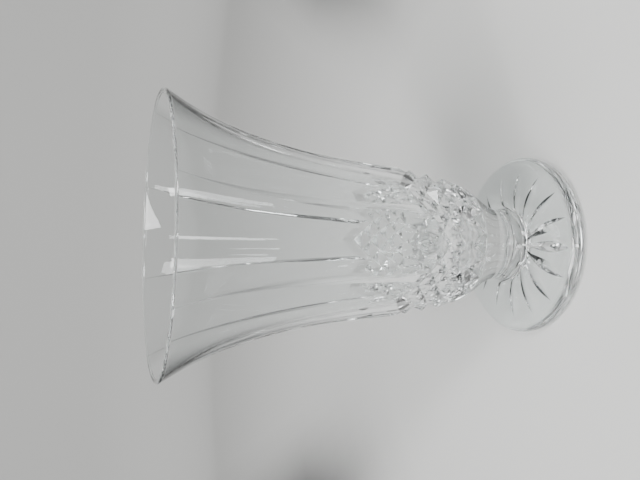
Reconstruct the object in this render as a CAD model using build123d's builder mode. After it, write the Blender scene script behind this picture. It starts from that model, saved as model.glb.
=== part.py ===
"""Footed flower vase of clear cut glass: bowl, stem and foot, joined hot face to face."""
from build123d import *
from math import cos, pi, radians, sin, tan
import os

os.makedirs("parts", exist_ok=True)

# ---- overall sizes, millimetres ------------------------------------------------------------
vase_height = 254.0
rim_radius = 83.3
foot_radius = 60.8

# ---- joints between the three gathers of glass ---------------------------------------------
stem_bottom_z = 20.0
stem_top_z = 31.0
stem_foot_radius = 24.2
stem_waist_radius = 23.2
stem_waist_z = 25.5
stem_bowl_radius = 24.4

# ---- bowl: height above the table, then radius, of the round blank --------------------------
funnel_low = (37.0, 26.5)
funnel_high = (49.0, 32.9)
band_low = (61.0, 39.2)
band_bulge = (73.0, 43.1)
band_waist = (85.0, 45.3)
band_high = (99.0, 47.3)
wall_start = (113.0, 48.5)
wall_middle = (150.0, 51.5)
lip_thickness = 2.7

# ---- bowl: shares of the way up and out from the wall's middle to the rim ---------------------
flare_share = (0.481, 0.286)
fade_share = (0.827, 0.689)
flare_thickness = 3.6
fade_thickness = 3.05

# ---- upright V-cuts that part the wall into tall panels --------------------------------------
panel_count = 8
mitre_low_z = 98.5
mitre_high_z = vase_height - 6.0
mitre_half_width = 4.6
mitre_half_angle = 58.0

# ---- inside of the bowl --------------------------------------------------------------------
well_floor_z = 52.0
well_dish = (52.7, 9.5)
well_turn = (55.6, 19.5)
well_corner = (62.0, 28.3)
well_shoulder = (80.0, 36.6)
well_waist = (110.0, 41.8)
well_middle = (150.0, 46.9)

# ---- band of raised diamonds ---------------------------------------------------------------
diamonds_round = 16
band_top_z = 110.5
band_rows = 7
diamond_slope = 0.68
tail_length = 10.5
tail_clear = 0.6
diamond_height = 3.4
tip_below_blank = 0.25
wheel_half_angle = 57.0
cutter_radius = 62.0

# ---- foot and its star ---------------------------------------------------------------------
foot_edge_thickness = 8.6
foot_edge_round = 3.9
dome_shoulder = (14.6, 36.0)
cove_slope = (-0.25, 1)
star_rays = 16
star_start = (0.0, 2.0)
star_neck = (1.25, 18.0)
star_belly = (2.7, 33.0)
star_shoulder = (1.8, 42.0)
star_tip = (0.0, 48.6)
star_runout = (-0.9, 51.2)
star_wheel_depth = 5.0
star_half_angle = 52.0


def at(angle, z, radius):
    """Point on the vase at an angle round it, a height and a radius."""
    return Vector(radius * cos(angle), radius * sin(angle), z)


def as_rz(point):
    """Turn a (height, radius) size into (radius, height) for a sketch."""
    return (point[1], point[0])


def towards_rim(share, inset=0.0):
    """Height and radius a share of the way up and out from the wall's middle to the rim."""
    z = wall_middle[0] + share[0] * (vase_height - wall_middle[0])
    radius = wall_middle[1] + share[1] * (rim_radius - wall_middle[1])
    return (z, radius - inset)


def mitre_path(z, wall_radius):
    """Point on the bottom of an upright V-cut, which gets shallower all the way up."""
    share = (mitre_high_z - z) / (mitre_high_z - mitre_low_z)
    depth = share * mitre_half_width / tan(radians(mitre_half_angle))
    return (wall_radius - depth, z)


# ---- points of the flaring wall, outside and inside -------------------------------------------
wall_flare = towards_rim(flare_share)
wall_fade = towards_rim(fade_share)
well_flare = towards_rim(flare_share, flare_thickness)
well_fade = towards_rim(fade_share, fade_thickness)

# ---- one upright V-cut, halfway between two panels -------------------------------------------
mitre_turn = pi / panel_count
mitre_outward = Vector(cos(mitre_turn), sin(mitre_turn), 0)
mitre_side = Vector(-sin(mitre_turn), cos(mitre_turn), 0)
wheel_rim = 3 * mitre_half_width
with BuildPart() as mitre:
    with BuildLine(Plane(origin=(0, 0, 0), x_dir=mitre_outward, z_dir=-mitre_side)) as mitre_bottom:
        mitre_run = Spline(
            mitre_path(mitre_low_z, band_high[1]),
            mitre_path(*wall_start),
            mitre_path(*wall_middle),
            mitre_path(*wall_flare),
            mitre_path(*wall_fade),
            mitre_path(vase_height, rim_radius),
        )
    with BuildSketch(Plane(origin=mitre_run @ 0, x_dir=mitre_side, z_dir=mitre_run % 0)):
        with BuildLine():
            Polyline(
                (0, 0),
                (wheel_rim, -wheel_rim / tan(radians(mitre_half_angle))),
                (-wheel_rim, -wheel_rim / tan(radians(mitre_half_angle))),
                (0, 0),
            )
        make_face()
    sweep(path=mitre_bottom.line)

# ---- bowl blank: a round trumpet, cut upright between its panels, then hollowed --------------
with BuildPart() as bowl:
    with BuildSketch(Plane.XZ):
        with BuildLine():
            Spline(
                (stem_bowl_radius, stem_top_z),
                as_rz(funnel_low),
                as_rz(funnel_high),
                as_rz(band_low),
                as_rz(band_bulge),
                as_rz(band_waist),
                as_rz(band_high),
                as_rz(wall_start),
                as_rz(wall_middle),
                as_rz(wall_flare),
                as_rz(wall_fade),
                (rim_radius, vase_height),
            )
            Line((rim_radius, vase_height), (0, vase_height))
            Line((0, vase_height), (0, stem_top_z))
            Line((0, stem_top_z), (stem_bowl_radius, stem_top_z))
        make_face()
    revolve(axis=Axis.Z)
    with PolarLocations(0, panel_count):
        add(mitre.part, mode=Mode.SUBTRACT)
    with BuildSketch(Plane.XZ):
        with BuildLine():
            Spline(
                (0, well_floor_z),
                as_rz(well_dish),
                as_rz(well_turn),
                as_rz(well_corner),
                as_rz(well_shoulder),
                as_rz(well_waist),
                as_rz(well_middle),
                as_rz(well_flare),
                as_rz(well_fade),
                (rim_radius - lip_thickness, vase_height),
            )
            Line((rim_radius - lip_thickness, vase_height), (0, vase_height))
            Line((0, vase_height), (0, well_floor_z))
        make_face()
    revolve(axis=Axis.Z, mode=Mode.SUBTRACT)


# ---- what the cutting wheel takes away round the band ----------------------------------------
step = pi / diamonds_round
blank_knots = [(stem_top_z, stem_bowl_radius), funnel_low, funnel_high]
blank_knots += [band_low, band_bulge, band_waist, band_high]


def blank_radius(z):
    """Radius of the uncut blank at a height in the band."""
    for (low_z, low_r), (high_z, high_r) in zip(blank_knots, blank_knots[1:]):
        if z <= high_z:
            return low_r + (high_r - low_r) * (z - low_z) / (high_z - low_z)
    return band_high[1]


row_z = [band_top_z]
for row in range(band_rows):
    row_z.append(row_z[-1] - diamond_slope * step * blank_radius(row_z[-1]))
row_z.append(row_z[-1] - tail_length)


def crossing(column, row):
    """Where two grooves cross, at the bottom of the cut."""
    radius = blank_radius(row_z[row]) - tip_below_blank - diamond_height
    if row > band_rows:
        radius = blank_radius(row_z[row]) + tail_clear
    return at(column * step, row_z[row], radius)


def tip(column, row):
    """Top of one raised diamond."""
    return at(column * step, row_z[row], blank_radius(row_z[row]) - tip_below_blank)


def facet(*corners):
    """One flat three-cornered face."""
    return Face(Wire.make_polygon(corners, close=True))


def edge_row(column):
    """Row where the top groove runs at this column: highest in the middle of each flute."""
    place = column % 4
    return min(place, 4 - place)


def outside(column):
    """Point beyond the blank on the upper side of the top groove."""
    inner = crossing(column, edge_row(column))
    radius = blank_radius(row_z[edge_row(column)]) - tip_below_blank - diamond_height
    rise = (cutter_radius - radius) * tan(radians(wheel_half_angle)) * (1 + diamond_slope**2) ** 0.5
    return at(column * step, inner.Z + rise, cutter_radius)


def below(column):
    """Point beyond the blank under the band."""
    return at(column * step, stem_top_z, cutter_radius)


faces = []
for column in range(2 * diamonds_round):
    for row in range(1, band_rows + 1):
        if (column + row) % 2 == 1 and row > edge_row(column):
            top = crossing(column, row - 1)
            right = crossing(column + 1, row)
            bottom = crossing(column, row + 1)
            left = crossing(column - 1, row)
            peak = tip(column, row)
            faces.append(facet(peak, top, right))
            faces.append(facet(peak, right, bottom))
            faces.append(facet(peak, bottom, left))
            faces.append(facet(peak, left, top))
    here = crossing(column, edge_row(column))
    there = crossing(column + 1, edge_row(column + 1))
    faces.append(facet(here, there, outside(column)))
    faces.append(facet(there, outside(column + 1), outside(column)))
    if (column + band_rows) % 2 == 0:
        last_left = crossing(column - 1, band_rows + 1)
        last_right = crossing(column + 1, band_rows + 1)
        faces.append(facet(last_left, last_right, crossing(column, band_rows)))
        faces.append(facet(last_left, last_right, below(column + 1)))
        faces.append(facet(last_left, below(column + 1), below(column - 1)))
        faces.append(facet(below(column - 1), below(column + 1), outside(column)))
        faces.append(facet(below(column + 1), outside(column), outside(column + 1)))
        faces.append(facet(below(column - 1), outside(column - 1), outside(column)))
wheel_waste = Solid(Shell(faces))

with BuildPart() as cut_bowl:
    add(bowl.part)
    add(wheel_waste, mode=Mode.SUBTRACT)

# ---- stem: short solid button with a waist ---------------------------------------------------
with BuildPart() as stem:
    with BuildSketch(Plane.XZ):
        with BuildLine():
            Spline(
                (stem_foot_radius, stem_bottom_z),
                (stem_waist_radius, stem_waist_z),
                (stem_bowl_radius, stem_top_z),
            )
            Polyline(
                (stem_bowl_radius, stem_top_z),
                (0, stem_top_z),
                (0, stem_bottom_z),
                (stem_foot_radius, stem_bottom_z),
            )
        make_face()
    revolve(axis=Axis.Z)

# ---- one ray of the star: a V-cut deepest two thirds of the way out --------------------------
with BuildPart() as ray:
    with BuildLine(Plane.XZ) as ray_bottom:
        ray_run = Spline(
            as_rz(star_start),
            as_rz(star_neck),
            as_rz(star_belly),
            as_rz(star_shoulder),
            as_rz(star_tip),
            as_rz(star_runout),
        )
    ray_half_width = star_wheel_depth * tan(radians(star_half_angle))
    with BuildSketch(Plane(origin=ray_run @ 0, x_dir=(0, 1, 0), z_dir=ray_run % 0)):
        with BuildLine():
            Polyline(
                (0, 0),
                (ray_half_width, -star_wheel_depth),
                (-ray_half_width, -star_wheel_depth),
                (0, 0),
            )
        make_face()
    sweep(path=ray_bottom.line)

# ---- foot: thick domed disc, star cut underneath ---------------------------------------------
with BuildPart() as foot:
    with BuildSketch(Plane.XZ):
        with BuildLine():
            Line((0, 0), (foot_radius - foot_edge_round, 0))
            RadiusArc(
                (foot_radius - foot_edge_round, 0),
                (foot_radius, foot_edge_round),
                -foot_edge_round,
            )
            Spline(
                (foot_radius, foot_edge_round),
                (foot_radius - foot_edge_round, foot_edge_thickness),
                as_rz(dome_shoulder),
                (stem_foot_radius, stem_bottom_z),
                tangents=[(0, 1), cove_slope],
            )
            Line((stem_foot_radius, stem_bottom_z), (0, stem_bottom_z))
            Line((0, stem_bottom_z), (0, 0))
        make_face()
    revolve(axis=Axis.Z)
    with PolarLocations(0, star_rays):
        add(ray.part, mode=Mode.SUBTRACT)

cut_bowl.part.label = "bowl"
stem.part.label = "stem"
foot.part.label = "foot"
export_step(cut_bowl.part, "parts/bowl.step")
export_step(stem.part, "parts/stem.step")
export_step(foot.part, "parts/foot.step")
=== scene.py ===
"""Looks of the cut-glass flower vase: bowl, stem and foot in clear lead crystal, with its studio.

Lengths are metres in the CAD frame: +Z up, origin at the centre of the foot's underside.
"""

import logging
import math
from dataclasses import dataclass, field
from enum import Enum
from typing import Any

import bpy
import numpy as np
from mathutils import Matrix, Vector
from numpy.typing import NDArray

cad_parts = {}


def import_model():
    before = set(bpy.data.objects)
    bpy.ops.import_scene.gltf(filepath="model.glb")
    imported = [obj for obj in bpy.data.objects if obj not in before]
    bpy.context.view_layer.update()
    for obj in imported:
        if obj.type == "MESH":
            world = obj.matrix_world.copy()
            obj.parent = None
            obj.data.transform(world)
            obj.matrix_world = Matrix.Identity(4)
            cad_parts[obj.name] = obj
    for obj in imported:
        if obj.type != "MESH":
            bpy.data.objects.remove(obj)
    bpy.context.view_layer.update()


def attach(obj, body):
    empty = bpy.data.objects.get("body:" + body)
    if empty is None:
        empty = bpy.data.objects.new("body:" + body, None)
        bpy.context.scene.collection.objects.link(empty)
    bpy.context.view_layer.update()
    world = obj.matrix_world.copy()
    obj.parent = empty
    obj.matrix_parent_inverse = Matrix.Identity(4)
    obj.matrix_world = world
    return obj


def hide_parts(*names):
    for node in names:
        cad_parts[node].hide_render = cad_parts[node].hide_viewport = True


LOG = logging.getLogger("vase")
MM = 0.001
# Light crosses many faces of cut glass on its way, and each reflection inside it counts as a glossy bounce.
BOUNCES = 32

Array = NDArray[np.float64]
IndexArray = NDArray[np.int64]


class Node(str, Enum):
    """CAD nodes that the visible pieces stand for."""

    BOWL = "bowl"
    STEM = "stem"
    FOOT = "foot"


class Patch(int, Enum):
    """Material index of a patch of a piece's skin."""

    SKIN = 0
    JOINT = 1


def linear(code: str) -> tuple[float, float, float, float]:
    """Turn an sRGB hex colour into linear light: a straight toe of slope 1 / 12.92, then a power of 2.4.

    Args:
        code: six hex digits with a leading hash.

    Returns:
        Linear red, green, blue and an alpha of one.
    """
    shares = [int(code[i : i + 2], 16) / 255.0 for i in (1, 3, 5)]
    curve = [s / 12.92 if s <= 0.04045 else ((s + 0.055) / 1.055) ** 2.4 for s in shares]
    return (curve[0], curve[1], curve[2], 1.0)


class Shader:
    """A material's node tree, built a node at a time."""

    def __init__(self, name: str) -> None:
        """Start an empty tree under a new material's name."""
        self.material = bpy.data.materials.new(name)
        self.material.use_nodes = True
        self.tree = self.material.node_tree
        self.tree.nodes.clear()

    def add(self, kind: str, settings: dict[str, Any] | None = None, **inputs: Any) -> Any:
        """Add one node with its settings and its inputs.

        Args:
            kind: the node's type name.
            settings: attributes set on the node itself.
            **inputs: input names, with underscores for spaces; a socket is linked, a value is set.

        Returns:
            The new node.
        """
        node = self.tree.nodes.new(kind)
        for key, value in (settings or {}).items():
            setattr(node, key, value)
        for key, value in inputs.items():
            socket = node.inputs[key.replace("_", " ")]
            if isinstance(value, bpy.types.NodeSocket):
                self.tree.links.new(value, socket)
            else:
                socket.default_value = value
        return node


def sway(place: Array, half: float) -> Array:
    """Signed distance from the nearest multiple of twice a half period: mod(place + half, 2 half) - half."""
    return np.mod(place + half, 2 * half) - half


@dataclass(frozen=True)
class LeadCrystal:
    """Polished lead crystal: nearly colourless and bright in reflection.

    Lamp light passes straight through it, toned down to the shade, so the vase leaves a faint shadow.
    """

    name: str = "lead crystal, blown and wheel-cut, acid polished"
    tint: str = "#fbfdfd"
    shade: str = "#a6a8a8"
    refraction: float = 1.545
    roughness: float = 0.0

    def build(self) -> bpy.types.Material:
        """Make the glass: what the eye gets is clean bending of light, sharp edges and a faint shadow."""
        shader = Shader(self.name)
        glass = shader.add(
            "ShaderNodeBsdfPrincipled",
            Base_Color=linear(self.tint),
            Roughness=self.roughness,
            IOR=self.refraction,
            Transmission_Weight=1.0,
        )
        clear = shader.add("ShaderNodeBsdfTransparent", Color=linear(self.shade))
        path = shader.add("ShaderNodeLightPath")
        both = shader.add("ShaderNodeMixShader", Fac=path.outputs["Is Shadow Ray"])
        shader.tree.links.new(glass.outputs["BSDF"], both.inputs[1])
        shader.tree.links.new(clear.outputs["BSDF"], both.inputs[2])
        shader.add("ShaderNodeOutputMaterial", Surface=both.outputs["Shader"])
        return shader.material


@dataclass(frozen=True)
class FusedJoint:
    """Hot-fused meeting face inside the glass: the eye sees nothing there."""

    name: str = "hot fused glass, no boundary"

    def build(self) -> bpy.types.Material:
        """Make a face that light passes straight through."""
        shader = Shader(self.name)
        clear = shader.add("ShaderNodeBsdfTransparent", Color=linear("#ffffff"))
        shader.add("ShaderNodeOutputMaterial", Surface=clear.outputs["BSDF"])
        return shader.material


@dataclass(frozen=True)
class Profile:
    """A smooth line of radius against height through a few measured points, in millimetres.

    The line is a natural cubic: between points it is a cubic, and its bend is continuous.
    """

    heights: tuple[float, ...]
    radii: tuple[float, ...]

    def __call__(self, height: Array) -> Array:
        """Give the radius at each height.

        Args:
            height: heights in millimetres.

        Returns:
            Radii in millimetres.
        """
        z = np.asarray(self.heights)
        r = np.asarray(self.radii)
        gap = np.diff(z)
        slope = np.diff(r) / gap
        system = np.diag(np.r_[1.0, 2 * (gap[:-1] + gap[1:]), 1.0])
        system += np.diag(np.r_[gap[:-1], 0.0], -1) + np.diag(np.r_[0.0, gap[1:]], 1)
        bend = np.linalg.solve(system, np.r_[0.0, 6 * np.diff(slope), 0.0])
        at = np.clip(np.searchsorted(z, height, side="right") - 1, 0, len(gap) - 1)
        t = height - z[at]
        g = gap[at]
        lift = slope[at] - g * (2 * bend[at] + bend[at + 1]) / 6
        return r[at] + t * (lift + t * (bend[at] / 2 + t * (bend[at + 1] - bend[at]) / (6 * g)))


@dataclass(frozen=True)
class Line:
    """A smooth line in the plane of the axis through a few measured points, in millimetres.

    Radius and height are each a natural cubic of the distance run from point to point.
    """

    radii: tuple[float, ...]
    heights: tuple[float, ...]

    def __call__(self, share: Array) -> tuple[Array, Array]:
        """Give radius and height at places along the line.

        Args:
            share: places along the line, nought at its first point and one at its last.

        Returns:
            Radii and heights in millimetres.
        """
        run = np.r_[0.0, np.cumsum(np.hypot(np.diff(self.radii), np.diff(self.heights)))]
        knots = tuple(run / run[-1])
        return Profile(knots, self.radii)(share), Profile(knots, self.heights)(share)


def around(angle: Array, radius: Array, height: Array) -> Array:
    """Place points on circles round the axis: x = r cos a, y = r sin a, z = height.

    Args:
        angle: angles in radians.
        radius: radii in millimetres.
        height: heights in millimetres.

    Returns:
        Points in metres, with the last axis x, y, z.
    """
    angle, radius, height = np.broadcast_arrays(angle, radius, height)
    return np.stack([radius * np.cos(angle), radius * np.sin(angle), height], -1) * MM


@dataclass
class Skin:
    """Points and faces of one closed mesh, gathered patch by patch."""

    points: list[Array] = field(default_factory=list)
    faces: list[IndexArray] = field(default_factory=list)
    smooth: list[bool] = field(default_factory=list)
    patches: list[Patch] = field(default_factory=list)
    count: int = 0

    def add_points(self, points: Array) -> IndexArray:
        """Keep some points.

        Args:
            points: points in metres, last axis x, y, z.

        Returns:
            Their numbers, in the shape of the points.
        """
        numbers = self.count + np.arange(points[..., 0].size).reshape(points.shape[:-1])
        self.points.append(points.reshape(-1, 3))
        self.count += numbers.size
        return numbers

    def add_faces(self, faces: IndexArray, smooth: bool, patch: Patch = Patch.SKIN) -> None:
        """Keep faces that all have the same number of corners."""
        self.faces.append(faces.reshape(-1, faces.shape[-1]))
        self.smooth.append(smooth)
        self.patches.append(patch)

    def join(self, rings: IndexArray, smooth: bool = True, patch: Patch = Patch.SKIN) -> None:
        """Join rings of points, each ring closed on itself, into four-cornered faces.

        Args:
            rings: point numbers, one row to a ring; faces look out when rings run upwards on an outer wall.
            smooth: whether the faces shade as one curved surface.
            patch: the material the faces take.
        """
        after = np.roll(rings, -1, axis=1)
        quads = np.stack([rings[:-1], after[:-1], after[1:], rings[1:]], -1)
        self.add_faces(quads, smooth, patch)

    def cap(self, ring: IndexArray, centre: Array, up: bool, patch: Patch = Patch.SKIN) -> None:
        """Close a ring with a fan of triangles to one point."""
        pole = np.broadcast_to(self.add_points(centre), ring.shape)
        after = np.roll(ring, -1)
        order = [ring, after, pole] if up else [after, ring, pole]
        self.add_faces(np.stack(order, -1), True, patch)

    def build(self, name: str, materials: list[bpy.types.Material]) -> bpy.types.Object:
        """Make the mesh and its object.

        Args:
            name: the object's name.
            materials: one material to each patch index.

        Returns:
            The object, linked into the scene.
        """
        mesh = bpy.data.meshes.new(name)
        points = np.concatenate(self.points)
        sizes = np.concatenate([np.full(len(f), f.shape[1]) for f in self.faces])
        corners = np.concatenate([f.ravel() for f in self.faces])
        mesh.vertices.add(len(points))
        mesh.vertices.foreach_set("co", points.astype(np.float32).ravel())
        mesh.loops.add(len(corners))
        mesh.loops.foreach_set("vertex_index", corners.astype(np.int32))
        mesh.polygons.add(len(sizes))
        starts = np.r_[0, np.cumsum(sizes)[:-1]]
        mesh.polygons.foreach_set("loop_start", starts.astype(np.int32))
        shade = np.concatenate([np.full(len(f), s) for f, s in zip(self.faces, self.smooth)])
        patch = np.concatenate([np.full(len(f), int(p)) for f, p in zip(self.faces, self.patches)])
        mesh.polygons.foreach_set("use_smooth", shade)
        mesh.polygons.foreach_set("material_index", patch.astype(np.int32))
        for material in materials:
            mesh.materials.append(material)
        mesh.update(calc_edges=True)
        mesh.validate()
        piece = bpy.data.objects.new(name, mesh)
        bpy.context.scene.collection.objects.link(piece)
        return piece


def crease(piece: bpy.types.Object, degrees: float) -> None:
    """Mark as sharp every edge that turns more than an angle, so that cuts stay crisp."""
    piece.data.set_sharp_from_angle(angle=math.radians(degrees))


def dress(piece: bpy.types.Object, node: Node) -> bpy.types.Object:
    """Hide the CAD part that a finished piece stands for and tie the piece to the root body."""
    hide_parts(node.value)
    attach(piece, "root")
    return piece


@dataclass(frozen=True)
class Lattice:
    """The net of crossing V-grooves that leaves raised diamonds, in millimetres and steps round the bowl.

    A step is half a diamond. Grooves cross where step and row add up to an even number, and a
    diamond's tip stands where they add up to an odd one. Under a tail the wall is reached within
    tail_side of the way that a full flat side would take.
    """

    steps: int = 32
    rows: int = 7
    top: float = 110.5
    slope: float = 0.68
    tail: float = 10.5
    depth: float = 3.4
    tip_below: float = 0.25
    tail_side: float = 0.8
    half_angle: float = 57.0
    fine: int = 12

    @property
    def columns(self) -> int:
        """Number of fine columns round the bowl."""
        return self.steps * self.fine

    @property
    def rise(self) -> float:
        """How far up the wall a groove's side climbs for each millimetre it comes outwards."""
        return math.tan(math.radians(self.half_angle)) * math.sqrt(1 + self.slope**2)

    def heights(self, blank: Profile) -> Array:
        """Height of every row of crossings, the last one being the points of the tails."""
        rows = [self.top]
        for _ in range(self.rows):
            drop = self.slope * math.pi / (self.steps / 2) * float(blank(np.array(rows[-1])))
            rows.append(rows[-1] - drop)
        rows.append(rows[-1] - self.tail)
        return np.array(rows)


@dataclass(frozen=True)
class Bowl:
    """Blown bowl with tall flutes, a band of raised diamonds, a thin rounded lip and a deep well.

    Lengths are millimetres. The flutes are flattened by a circle whose centre lies flatness behind the
    axis, and that fades to nothing over flatness_fade under the rim. Of the fine columns in the step
    next to a V-cut, the share cut_columns lies inside the cut.
    """

    lattice: Lattice = Lattice()
    band: Profile = Profile(
        (31.0, 37.0, 49.0, 61.0, 73.0, 85.0, 99.0, 118.0), (24.4, 26.5, 32.9, 39.2, 43.1, 45.3, 47.3, 48.9)
    )
    floor: Profile = Profile(
        (88.0, 99.0, 113.0, 150.0, 200.0, 236.0, 254.0), (46.2, 47.2, 48.4, 51.5, 60.6, 73.4, 83.25)
    )
    well: Line = Line(
        (-19.5, -9.5, 0.0, 9.5, 19.5, 28.3, 36.6, 41.8, 46.9, 57.0, 70.35, 80.6),
        (55.6, 52.7, 52.0, 52.7, 55.6, 62.0, 80.0, 110.0, 150.0, 200.0, 236.0, 254.0),
    )
    bottom: float = 31.0
    height: float = 254.0
    flutes: int = 8
    flatness: float = 9.0
    flatness_fade: float = 40.0
    mitre_low: float = 100.0
    mitre_high: float = 248.0
    mitre_wide: float = 4.6
    mitre_tip: float = 0.12
    mitre_angle: float = 58.0
    cut_columns: float = 0.25
    settle_rounds: int = 40
    crease_angle: float = 9.0
    wall_rows: int = 84
    base_rows: int = 22
    lip_rows: int = 8
    well_rows: int = 110
    scan_per_row: int = 20

    @property
    def flute_half(self) -> float:
        """Half the angle that a flute takes round the axis."""
        return math.pi / self.flutes

    @property
    def flute_steps(self) -> int:
        """Number of the lattice's steps from the middle of a flute to its V-cut."""
        return self.lattice.steps // (2 * self.flutes)

    def mitre_half(self, height: Array) -> Array:
        """Half the width of the upright V-cuts: widest at the band, tapering evenly to a point near the rim."""
        up = np.clip((height - self.mitre_low) / (self.mitre_high - self.mitre_low), 0, 1)
        return self.mitre_tip + (self.mitre_wide - self.mitre_tip) * (1 - up)

    def column_angles(self, height: Array) -> Array:
        """Angles of the fine columns at a height, moved so that a column lies on each edge of the V-cuts.

        From the middle of a flute outwards, the angle grows evenly through the first step, then
        evenly to the edge of the V-cut, then evenly to the middle of the cut.

        Args:
            height: heights in millimetres, broadcast against the columns.

        Returns:
            Angles in radians.
        """
        net = self.lattice
        half, step = self.flute_half, 2 * math.pi / net.steps
        column = np.arange(net.columns) / net.fine
        off = sway(column, self.flute_steps)
        fold, side = np.abs(off), np.sign(off)
        edge = half - self.mitre_half(height) / self.floor(height)
        inner = np.minimum(fold, 1) * step
        outer = np.clip((fold - 1) / (1 - self.cut_columns), 0, 1) * (edge - step)
        last = np.clip((fold - self.flute_steps + self.cut_columns) / self.cut_columns, 0, 1) * (half - edge)
        return (column - off) * step + side * (inner + outer + last)

    def flute_radius(self, angle: Array, height: Array) -> Array:
        """Radius of the panelled wall.

        Across one panel the wall is an arc of a circle wider than the bowl: with f the panel's
        middle and s how far the circle's centre lies behind the axis, its radius is f + s. The
        V-cuts between panels then take away (half width - distance) / tan(half angle).

        Args:
            angle: angles in radians.
            height: heights in millimetres.

        Returns:
            Radii in millimetres.
        """
        turn = sway(angle, self.flute_half)
        low = self.floor(height)
        back = self.flatness * np.clip((self.height - height) / self.flatness_fade, 0, 1)
        panel = np.sqrt((low + back) ** 2 - (back * np.sin(turn)) ** 2) - back * np.cos(turn)
        away = low * (self.flute_half - np.abs(turn))
        cut = np.maximum(self.mitre_half(height) - away, 0) / math.tan(math.radians(self.mitre_angle))
        return panel - cut

    def groove(self, skin: Skin, rows: Array) -> tuple[IndexArray, IndexArray, IndexArray, IndexArray]:
        """Lay the lowest and the highest groove line and the wall lines beside them.

        The highest groove zigzags from the middle of each flute down to each ridge. The lowest one
        zigzags from the last crossings down to the points of the tails, where its depth is nothing.
        A groove's flat side climbs rise for each millimetre outwards. How far out it meets the wall
        depends on the wall's radius there, so that is settled in rounds.

        Args:
            skin: where the points go.
            rows: heights of the rows of crossings.

        Returns:
            Point numbers of the base edge, the tail groove, the top groove and the flute edge.
        """
        net = self.lattice
        column = np.arange(net.columns) / net.fine
        angle = column * 2 * np.pi / net.steps
        wave = np.abs(sway(column, self.flute_steps))
        top_z = np.interp(wave, [0, 1, 2], rows[:3])
        top_r = self.band(top_z) - net.tip_below - net.depth
        reach = np.full_like(top_z, net.depth)
        for _ in range(self.settle_rounds):
            edge_angle = self.column_angles(top_z + net.rise * reach)
            reach = self.flute_radius(edge_angle, top_z + net.rise * reach) - top_r
        edge_z = top_z + net.rise * reach
        swing = np.abs(sway(column + net.rows, 1))
        tail_z = rows[-2] + (rows[-1] - rows[-2]) * (1 - swing)
        depth = (net.tip_below + net.depth) * swing
        tail_r = self.band(tail_z) - depth
        base_z = tail_z - net.rise * depth * net.tail_side
        base = skin.add_points(around(angle, self.band(base_z), base_z))
        tail = skin.add_points(around(angle, tail_r, tail_z))
        crown = skin.add_points(around(angle, top_r, top_z))
        edge = skin.add_points(around(edge_angle, self.flute_radius(edge_angle, edge_z), edge_z))
        return base, tail, crown, edge

    def diamonds(self, skin: Skin, rows: Array, tail: IndexArray, crown: IndexArray) -> None:
        """Raise the diamonds: four flat sides from each tip down to the four crossings round it.

        A side that ends on the crown or on the tail line becomes a fan, one triangle to a fine column.

        Args:
            skin: where the points and faces go.
            rows: heights of the rows of crossings.
            tail: point numbers of the lowest groove line.
            crown: point numbers of the highest groove line.
        """
        net = self.lattice
        step, row = np.meshgrid(np.arange(net.steps), np.arange(net.rows + 2), indexing="ij")
        edge_row = np.abs(sway(step, self.flute_steps))
        is_tip = (step + row) % 2 == 1
        depth = np.where(is_tip, net.tip_below, net.tip_below + net.depth)
        spots = around(step * 2 * np.pi / net.steps, self.band(rows[row]) - depth, rows[row])
        inside = (row > edge_row) & (row < net.rows + is_tip) & (row <= net.rows)
        number = np.full(step.shape, -1)
        number[inside] = skin.add_points(spots[inside])
        columns = np.arange(net.steps)
        number[columns, edge_row[:, 0]] = crown[:: net.fine]
        low_row = np.where((columns + net.rows) % 2 == 0, net.rows, net.rows + 1)
        number[columns, low_row] = tail[:: net.fine]
        tip_step, tip_row = np.nonzero(is_tip & inside)
        # Where the two crossings of a side lie from its tip, in steps and rows, once round the tip.
        corner_moves = ((0, -1), (1, 0), (0, 1), (-1, 0))
        for here, there in zip(corner_moves, corner_moves[1:] + corner_moves[:1]):
            a_step, a_row = (tip_step + here[0]) % net.steps, tip_row + here[1]
            b_step, b_row = (tip_step + there[0]) % net.steps, tip_row + there[1]
            peak = number[tip_step, tip_row]
            corners = np.stack([number[a_step, a_row], peak, number[b_step, b_row]], -1)
            on_crown = (a_row == edge_row[a_step, 0]) & (b_row == edge_row[b_step, 0])
            on_tail = (a_row == low_row[a_step]) & (b_row == low_row[b_step])
            skin.add_faces(corners[~(on_crown | on_tail)], smooth=False)
            back = 0 if there[0] + here[0] > 0 else 1
            for line, chosen in ((crown, on_crown), (tail, on_tail)):
                first = (tip_step[chosen] - back) * net.fine
                run = (first[:, None] + np.arange(net.fine + 1)) % net.columns
                ring = line[run]
                left, right = ring[:, :-1], ring[:, 1:]
                apex = np.broadcast_to(peak[chosen][:, None], left.shape)
                order = [right, left, apex] if line is crown else [left, right, apex]
                skin.add_faces(np.stack(order, -1), smooth=False)

    def well_line(self, shoulder: float) -> tuple[Array, Array]:
        """Radii and heights down the inside of the bowl, from the lip to the middle of its floor.

        Args:
            shoulder: height where the rounding of the lip ends, millimetres.

        Returns:
            Radii and heights in millimetres.
        """
        fine = np.linspace(0, 1, self.scan_per_row * self.well_rows)
        radius, height = self.well(fine)
        side = radius >= 0
        first = np.interp(shoulder, height[side], fine[side])
        last = np.interp(0.0, radius, fine)
        return self.well(np.linspace(first, last, self.well_rows))

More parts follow.
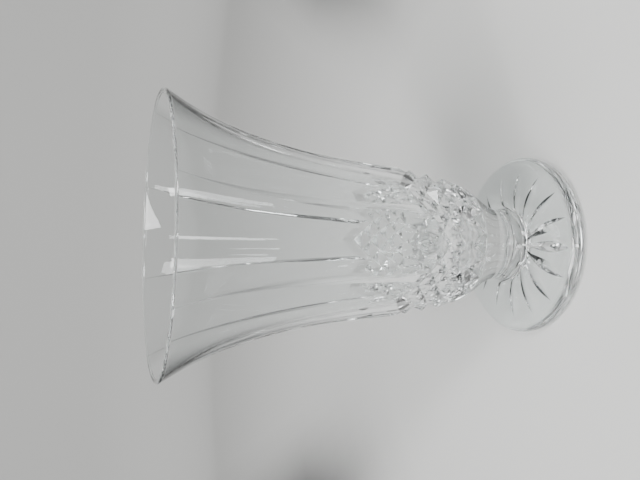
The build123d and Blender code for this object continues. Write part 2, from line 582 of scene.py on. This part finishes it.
    def build(self, glass: bpy.types.Material, joint: bpy.types.Material) -> bpy.types.Object:
        """Make the bowl.

        Args:
            glass: the skin's material.
            joint: the material of the face fused to the stem.

        Returns:
            The finished piece.
        """
        net = self.lattice
        skin = Skin()
        angle = np.arange(net.columns) * 2 * np.pi / net.columns
        rows = net.heights(self.band)
        base, tail, crown, edge = self.groove(skin, rows)
        self.diamonds(skin, rows, tail, crown)
        points = np.concatenate(skin.points)
        share = np.linspace(0, 1, self.base_rows)[:-1, None]
        base_z = self.bottom + (points[base][:, 2] / MM - self.bottom) * share
        lower = skin.add_points(around(angle, self.band(base_z), base_z))
        skin.join(np.vstack([lower, base[None], tail[None]]))
        skin.cap(lower[0], np.array([0, 0, self.bottom * MM]), up=False, patch=Patch.JOINT)
        lip = (float(self.floor(np.array(self.height))) - self.well.radii[-1]) / 2
        shoulder = self.height - lip
        share = np.linspace(0, 1, self.wall_rows)[1:, None]
        start = points[edge][:, 2] / MM
        wall_z = start + (shoulder - start) * share
        wall_angle = self.column_angles(wall_z)
        wall = skin.add_points(around(wall_angle, self.flute_radius(wall_angle, wall_z), wall_z))
        well_r, well_z = self.well_line(shoulder)
        outer_r = float(self.floor(np.array(shoulder)))
        middle, half = (outer_r + well_r[0]) / 2, (outer_r - well_r[0]) / 2
        turn = np.linspace(0, np.pi, self.lip_rows + 2)[1:-1, None]
        lip_rings = skin.add_points(around(angle, middle + half * np.cos(turn), shoulder + lip * np.sin(turn)))
        inner = skin.add_points(around(angle, well_r[:-1, None], well_z[:-1, None]))
        skin.join(np.vstack([crown[None], edge[None], wall, lip_rings, inner]))
        skin.cap(inner[-1], np.array([0, 0, well_z[-1] * MM]), up=True)
        piece = skin.build("cut_crystal_bowl", [glass, joint])
        crease(piece, self.crease_angle)
        return dress(piece, Node.BOWL)


@dataclass(frozen=True)
class Stem:
    """Short solid button between bowl and foot, with a slight waist; lengths are millimetres."""

    bottom: float = 20.0
    top: float = 31.0
    line: Profile = Profile((20.0, 25.5, 31.0), (24.2, 23.2, 24.4))
    columns: int = 256
    wall_rows: int = 34
    crease_angle: float = 30.0

    def build(self, glass: bpy.types.Material, joint: bpy.types.Material) -> bpy.types.Object:
        """Make the stem.

        Args:
            glass: the skin's material.
            joint: the material of the two fused faces.

        Returns:
            The finished piece.
        """
        skin = Skin()
        angle = np.arange(self.columns) * 2 * np.pi / self.columns
        z = np.linspace(self.bottom, self.top, self.wall_rows)[:, None]
        wall = skin.add_points(around(angle, self.line(z), z))
        skin.join(wall)
        skin.cap(wall[0], np.array([0, 0, self.bottom * MM]), up=False, patch=Patch.JOINT)
        skin.cap(wall[-1], np.array([0, 0, self.top * MM]), up=True, patch=Patch.JOINT)
        piece = skin.build("solid_crystal_stem", [glass, joint])
        crease(piece, self.crease_angle)
        return dress(piece, Node.STEM)


@dataclass(frozen=True)
class Foot:
    """Thick domed disc with a sixteen-ray star cut into its underside; lengths are millimetres.

    The dome's line runs from the resting ring over the edge and up to the joint with the stem.
    """

    top: float = 20.0
    dome: Line = Line(
        (56.9, 58.9, 60.28, 60.8, 60.55, 59.6, 57.8, 54.5, 47.0, 38.0, 31.0, 27.4, 25.2, 24.2),
        (0.0, 0.5, 2.0, 4.1, 6.2, 7.8, 9.1, 10.3, 12.2, 14.1, 15.7, 17.0, 18.4, 20.0),
    )
    rays: int = 16
    ray_middle: float = 0.4
    ray_start: float = 2.0
    ray_end: float = 48.6
    ray: Profile = Profile((2.0, 18.0, 33.0, 42.0, 48.6, 51.2), (0.0, 1.25, 2.7, 1.8, 0.0, -0.9))
    half_angle: float = 52.0
    inside_columns: int = 7
    outside_columns: int = 5
    ray_rows: int = 90
    dome_rows: int = 110
    scan_columns: int = 400
    least_share: float = 0.02
    crease_angle: float = 12.0

    def cut_height(self, radius: Array, angle: Array) -> Array:
        """Height of the star's cut above the table.

        A ray is a straight V-shaped cut of changing depth: with x along it and y across it, the cut
        stands depth(x) - |y| / tan(half angle) above the table.

        Args:
            radius: distance from the axis, millimetres.
            angle: angle from the ray's middle line.

        Returns:
            Heights in millimetres, nothing where the wheel does not reach.
        """
        along = np.clip(radius * np.cos(angle), self.ray_start, self.ray_end)
        across = np.abs(radius * np.sin(angle))
        return np.maximum(self.ray(along) - across / math.tan(math.radians(self.half_angle)), 0)

    def build(self, glass: bpy.types.Material, joint: bpy.types.Material) -> bpy.types.Object:
        """Make the foot.

        At each radius the columns split into some inside the ray's cut and some outside it, so that a
        column runs along the cut's edge.

        Args:
            glass: the skin's material.
            joint: the material of the face fused to the stem.

        Returns:
            The finished piece.
        """
        half = math.pi / self.rays
        radius = np.linspace(self.ray_middle, self.ray_end, self.ray_rows)[:, None]
        scan = np.linspace(0, half, self.scan_columns)[None, :]
        reached = (self.cut_height(radius, scan) > 0).sum(1) / scan.size
        share = np.clip(reached, self.least_share, 1 - self.least_share)[:, None]
        inside = np.linspace(0, 1, self.inside_columns + 1)[None, :] * share
        outside = share + (1 - share) * np.linspace(0, 1, self.outside_columns + 1)[None, 1:]
        side = np.concatenate([inside, outside], 1) * half
        one_ray = np.concatenate([-side[:, :0:-1], side[:, :-1]], 1)
        turns = np.arange(self.rays) * 2 * half
        local = np.tile(one_ray, (1, self.rays))
        angle = (one_ray[:, None, :] + turns[None, :, None]).reshape(self.ray_rows, -1)
        skin = Skin()
        under = skin.add_points(around(angle, radius, self.cut_height(radius, local)))
        even = angle[-1]
        ring_r, ring_z = self.dome(np.linspace(0, 1, self.dome_rows))
        outer = skin.add_points(around(even, ring_r[:, None], np.maximum(ring_z, 0)[:, None]))
        skin.join(np.vstack([under, outer]))
        skin.cap(under[0], np.array([0.0, 0, 0]), up=False)
        skin.cap(outer[-1], np.array([0, 0, self.top * MM]), up=True, patch=Patch.JOINT)
        piece = skin.build("cut_crystal_foot", [glass, joint])
        crease(piece, self.crease_angle)
        return dress(piece, Node.FOOT)


@dataclass(frozen=True)
class Panel:
    """A flat soft light: where its middle is, how large it is, in metres, how strong, and what it faces."""

    name: str
    middle: tuple[float, float, float]
    width: float
    height: float
    watts: float
    target: tuple[float, float, float] = (0.0, 0.0, 0.12)

    def frame(self) -> Matrix:
        """Place and turn of the panel, with its own -Z towards the target."""
        aim = Vector(self.target) - Vector(self.middle)
        turn = aim.to_track_quat("-Z", "Y")
        return Matrix.Translation(self.middle) @ turn.to_matrix().to_4x4()

    def build(self) -> bpy.types.Object:
        """Hang the light there, out of the camera's sight."""
        lamp = bpy.data.lights.new(self.name, "AREA")
        lamp.shape = "RECTANGLE"
        lamp.size = self.width
        lamp.size_y = self.height
        lamp.energy = self.watts
        piece = bpy.data.objects.new(self.name, lamp)
        piece.matrix_world = self.frame()
        piece.visible_camera = False
        bpy.context.scene.collection.objects.link(piece)
        return piece


@dataclass(frozen=True)
class Studio:
    """Pale floor swept up all round into a paper wall, with soft lights above it.

    The paper is pale round and behind the vase. At the other sides and high up the wall it carries painted
    shade that darkens it to nearly black, which gives the glass its edges. Lengths of the paper are
    millimetres, angles degrees.
    """

    floor_radius: float = 1150.0
    sweep: float = 250.0
    wall: float = 950.0
    drop: float = 0.05
    columns: int = 128
    rows: int = 24
    pale: str = "#cdcdcb"
    # Painted shade: the near-black that the paper fades to at the sides and high up stands in for the room's
    # shade.
    painted_shade: str = "#1e1f22"
    pale_reach: float = 28.0
    painted_shade_reach: float = 44.0
    pale_top: float = 620.0
    painted_shade_top: float = 900.0
    pale_floor: float = 240.0
    painted_shade_floor: float = 560.0
    back: float = 90.0
    air: str = "#c3c6ca"
    air_strength: float = 0.12
    lamps: tuple[Panel, ...] = (
        Panel("ceiling_light", (-0.3, -0.45, 1.75), 0.8, 0.8, 34.0),
        Panel("window_left", (-0.85, -0.6, 0.66), 0.14, 1.0, 10.0),
        Panel("window_right", (0.6, -0.85, 0.66), 0.18, 1.0, 12.0),
        Panel("window_behind", (0.04, -1.05, 0.66), 0.05, 1.0, 4.0),
    )

    def paper(self) -> bpy.types.Material:
        """Make the matt paper, which takes its tone, painted shade included, from the sheet's own colours."""
        shader = Shader("matt studio paper, pale with painted shade to nearly black")
        tone = shader.add("ShaderNodeVertexColor", {"layer_name": "tone"})
        paint = shader.add("ShaderNodeBsdfDiffuse", Color=tone.outputs["Color"])
        shader.add("ShaderNodeOutputMaterial", Surface=paint.outputs["BSDF"])
        return shader.material

    def tones(self, points: Array) -> Array:
        """Colour of the paper at each point: pale round and behind the vase, darkened by painted shade to
        nearly black at the sides and high up.

        The share of the painted shade is 3 m^2 - 2 m^3, where m is how far a point lies past the pale part,
        sideways and away from the vase or upwards, from nothing to one.

        Args:
            points: points in metres, last axis x, y, z.

        Returns:
            Linear colours with alpha, one row to a point.
        """
        azimuth = np.degrees(np.arctan2(points[:, 1], points[:, 0])) - self.back
        off = np.abs(sway(azimuth, 180))
        radius, height = np.hypot(points[:, 0], points[:, 1]) / MM, points[:, 2] / MM
        aside = np.clip((off - self.pale_reach) / (self.painted_shade_reach - self.pale_reach), 0, 1)
        away = np.clip((radius - self.pale_floor) / (self.painted_shade_floor - self.pale_floor), 0, 1)
        above = np.clip((height - self.pale_top) / (self.painted_shade_top - self.pale_top), 0, 1)
        # How much painted shade each point takes: at the sides away from the vase, and high up the wall.
        most = np.maximum(aside * away, above)
        share = (most * most * (3 - 2 * most))[:, None]
        return np.array(linear(self.pale)) * (1 - share) + np.array(linear(self.painted_shade)) * share

    def sheet(self) -> bpy.types.Object:
        """Make floor and wall as one round sheet: flat, a quarter circle, then upright."""
        skin = Skin()
        angle = np.arange(self.columns) * 2 * np.pi / self.columns
        bend = np.linspace(0, math.pi / 2, self.rows)
        flat = np.linspace(0, self.floor_radius, self.rows)[1:-1]
        radius = np.r_[flat, self.floor_radius + self.sweep * np.sin(bend)]
        height = np.r_[0 * flat, self.sweep * (1 - np.cos(bend))] - self.drop
        upright = np.linspace(self.sweep, self.wall, self.rows)[1:]
        radius = np.r_[radius, np.full(len(upright), radius[-1])]
        height = np.r_[height, upright]
        rings = skin.add_points(around(angle, radius[:, None], height[:, None]))
        skin.join(rings)
        skin.cap(rings[0], np.array([0, 0, -self.drop * MM]), up=False)
        piece = skin.build("studio_paper", [self.paper()])
        # The tone holds the pale paper and the painted shade laid over it at the sides and top.
        tone = piece.data.color_attributes.new("tone", "FLOAT_COLOR", "POINT")
        tone.data.foreach_set("color", self.tones(np.concatenate(skin.points)).ravel())
        return piece

    def build(self) -> None:
        """Lay the paper and hang the lights."""
        self.sheet()
        for lamp in self.lamps:
            lamp.build()
        world = bpy.data.worlds.new("room")
        world.use_nodes = True
        air = world.node_tree.nodes["Background"]
        air.inputs["Color"].default_value = linear(self.air)
        air.inputs["Strength"].default_value = self.air_strength
        bpy.context.scene.world = world


@dataclass(frozen=True)
class View:
    """The camera: above the rim, looking down, laid on its side, so the vase lies across the picture.

    Lens and sensor are millimetres, places metres and angles degrees.
    """

    lens: float = 35.41
    sensor: float = 36.0
    distance: float = 0.367
    rise: float = 0.2918
    aside: float = -0.0002
    pitch: float = 20.56
    roll: float = 1.43
    orbit: float = 1.2

    def build(self) -> bpy.types.Object:
        """Make the camera and set it as the scene's own."""
        down, lean = math.radians(self.pitch), math.radians(self.roll)
        right = Vector((1, 0, 0))
        up = Vector((0, math.sin(down), math.cos(down)))
        picture_right = right * math.sin(lean) - up * math.cos(lean)
        picture_up = right * math.cos(lean) + up * math.sin(lean)
        towards = picture_right.cross(picture_up)
        frame = Matrix((picture_right, picture_up, towards)).transposed().to_4x4()
        place = Matrix.Translation((self.aside, -self.distance, self.rise))
        data = bpy.data.cameras.new("camera")
        data.lens = self.lens
        data.sensor_width = self.sensor
        camera = bpy.data.objects.new("camera", data)
        camera.matrix_world = Matrix.Rotation(math.radians(self.orbit), 4, "Z") @ place @ frame
        bpy.context.scene.collection.objects.link(camera)
        bpy.context.scene.camera = camera
        return camera


def main() -> None:
    """Build the vase and its studio."""
    logging.basicConfig(level=logging.INFO, format="%(message)s")
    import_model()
    glass = LeadCrystal().build()
    joint = FusedJoint().build()
    for maker in (Bowl(), Stem(), Foot()):
        piece = maker.build(glass, joint)
        LOG.info("%s: %d faces", piece.name, len(piece.data.polygons))
    Studio().build()
    View().build()
    cycles = bpy.context.scene.cycles
    cycles.max_bounces = BOUNCES
    cycles.transmission_bounces = BOUNCES
    cycles.glossy_bounces = BOUNCES
    cycles.transparent_max_bounces = BOUNCES


if __name__ == "__main__":
    main()
